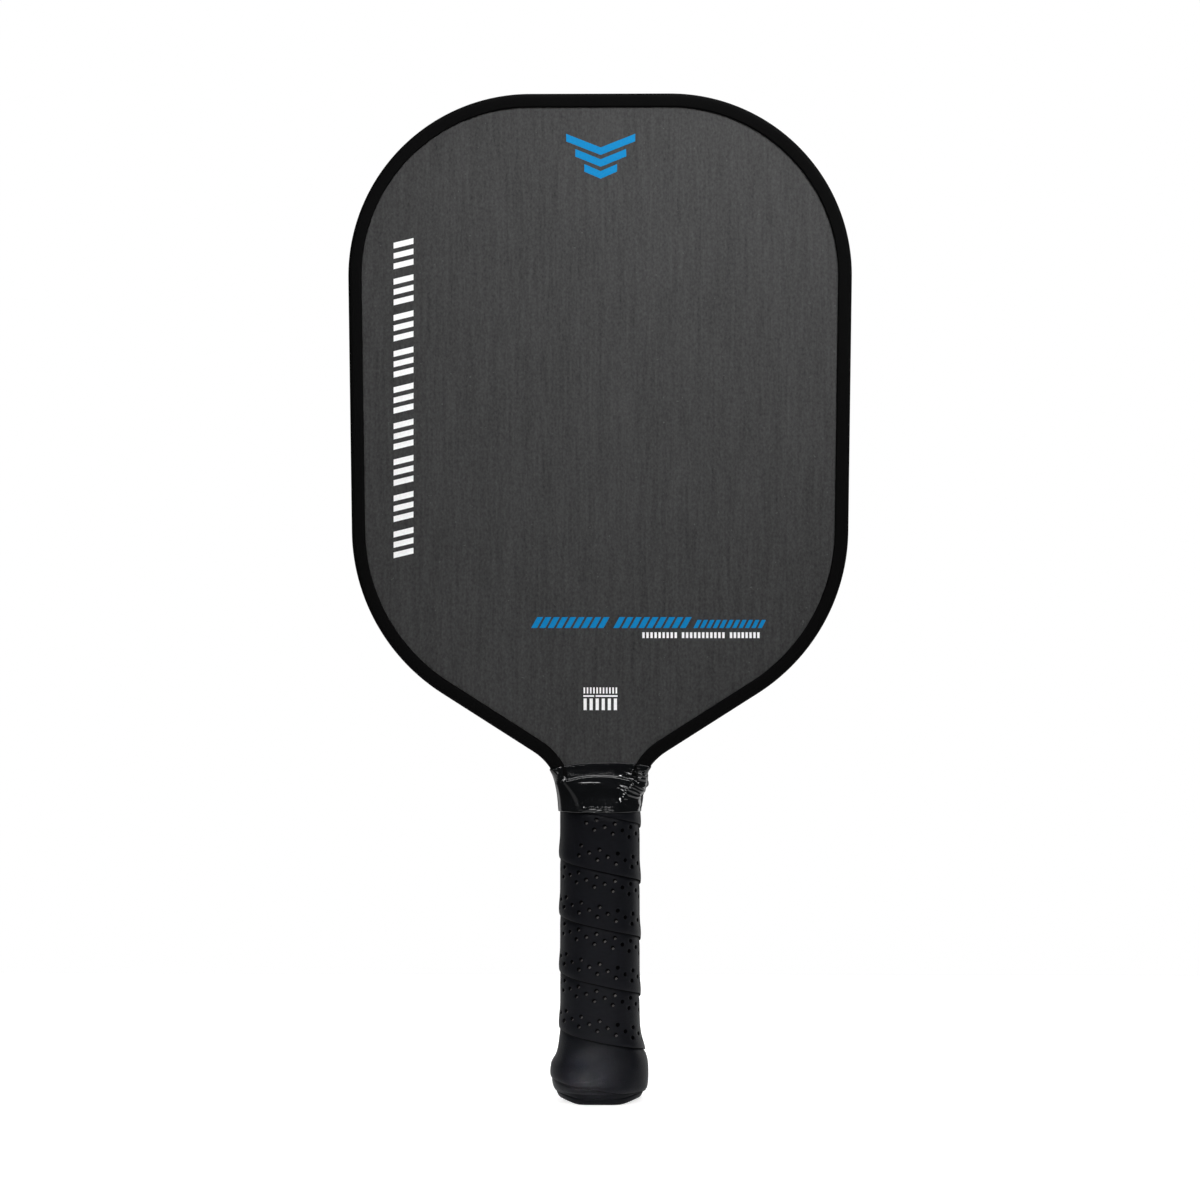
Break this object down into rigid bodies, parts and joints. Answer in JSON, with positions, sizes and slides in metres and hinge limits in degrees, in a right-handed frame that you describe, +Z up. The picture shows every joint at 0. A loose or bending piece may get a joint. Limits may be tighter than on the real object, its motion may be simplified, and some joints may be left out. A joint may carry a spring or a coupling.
{
  "type": "pickleball paddle",
  "caption": "Composite pickleball paddle with a honeycomb core, carbon faces, a moulded edge guard and a tape-wrapped eight-sided handle.",
  "frame": {"origin": "centre of the butt cap's flat end, at the bottom of the paddle's own box", "axes": "+Z up the long axis from the butt cap to the top of the head, -Y out of the front face, +X across the face to the right as the front face is seen"},
  "size_m": [0.2, 0.037, 0.4],
  "materials": {
    "core_plastic": "translucent polypropylene",
    "bond_resin": "cured resin film",
    "carbon_face": "raw carbon, gritty, fine upright streaks",
    "guard_plastic": "matt black moulding",
    "tape_adhesive": "pale double-sided tape",
    "shell_foam": "moulded rigid foam",
    "cap_plastic": "moulded satin black",
    "badge_plastic": "blank, brushed rings",
    "staple_steel": "drawn wire",
    "cushion_foam": "soft backing foam",
    "grip_skin": "perforated synthetic grip tape, matt with a faint sheen",
    "finishing_vinyl": "stretched glossy black vinyl",
    "print_white": "opaque white ink",
    "print_blue": "opaque blue ink"
  },
  "bodies": {
    "root": {"honeycomb_core": "core_plastic", "front_bond_film": "bond_resin", "rear_bond_film": "bond_resin", "front_carbon_skin": "carbon_face", "rear_carbon_skin": "carbon_face", "rim_tape": "tape_adhesive", "edge_guard": "guard_plastic", "butt_cap_staples": "staple_steel", "front_handle_shell": "shell_foam", "rear_handle_shell": "shell_foam", "front_shell_glue": "bond_resin", "rear_shell_glue": "bond_resin", "butt_cap": "cap_plastic", "end_badge": "badge_plastic", "grip_glue_tape": "tape_adhesive", "grip_cushion_tape": "cushion_foam", "grip_surface_tape": "grip_skin", "finishing_tape": "finishing_vinyl"}
  },
  "joints": []
}
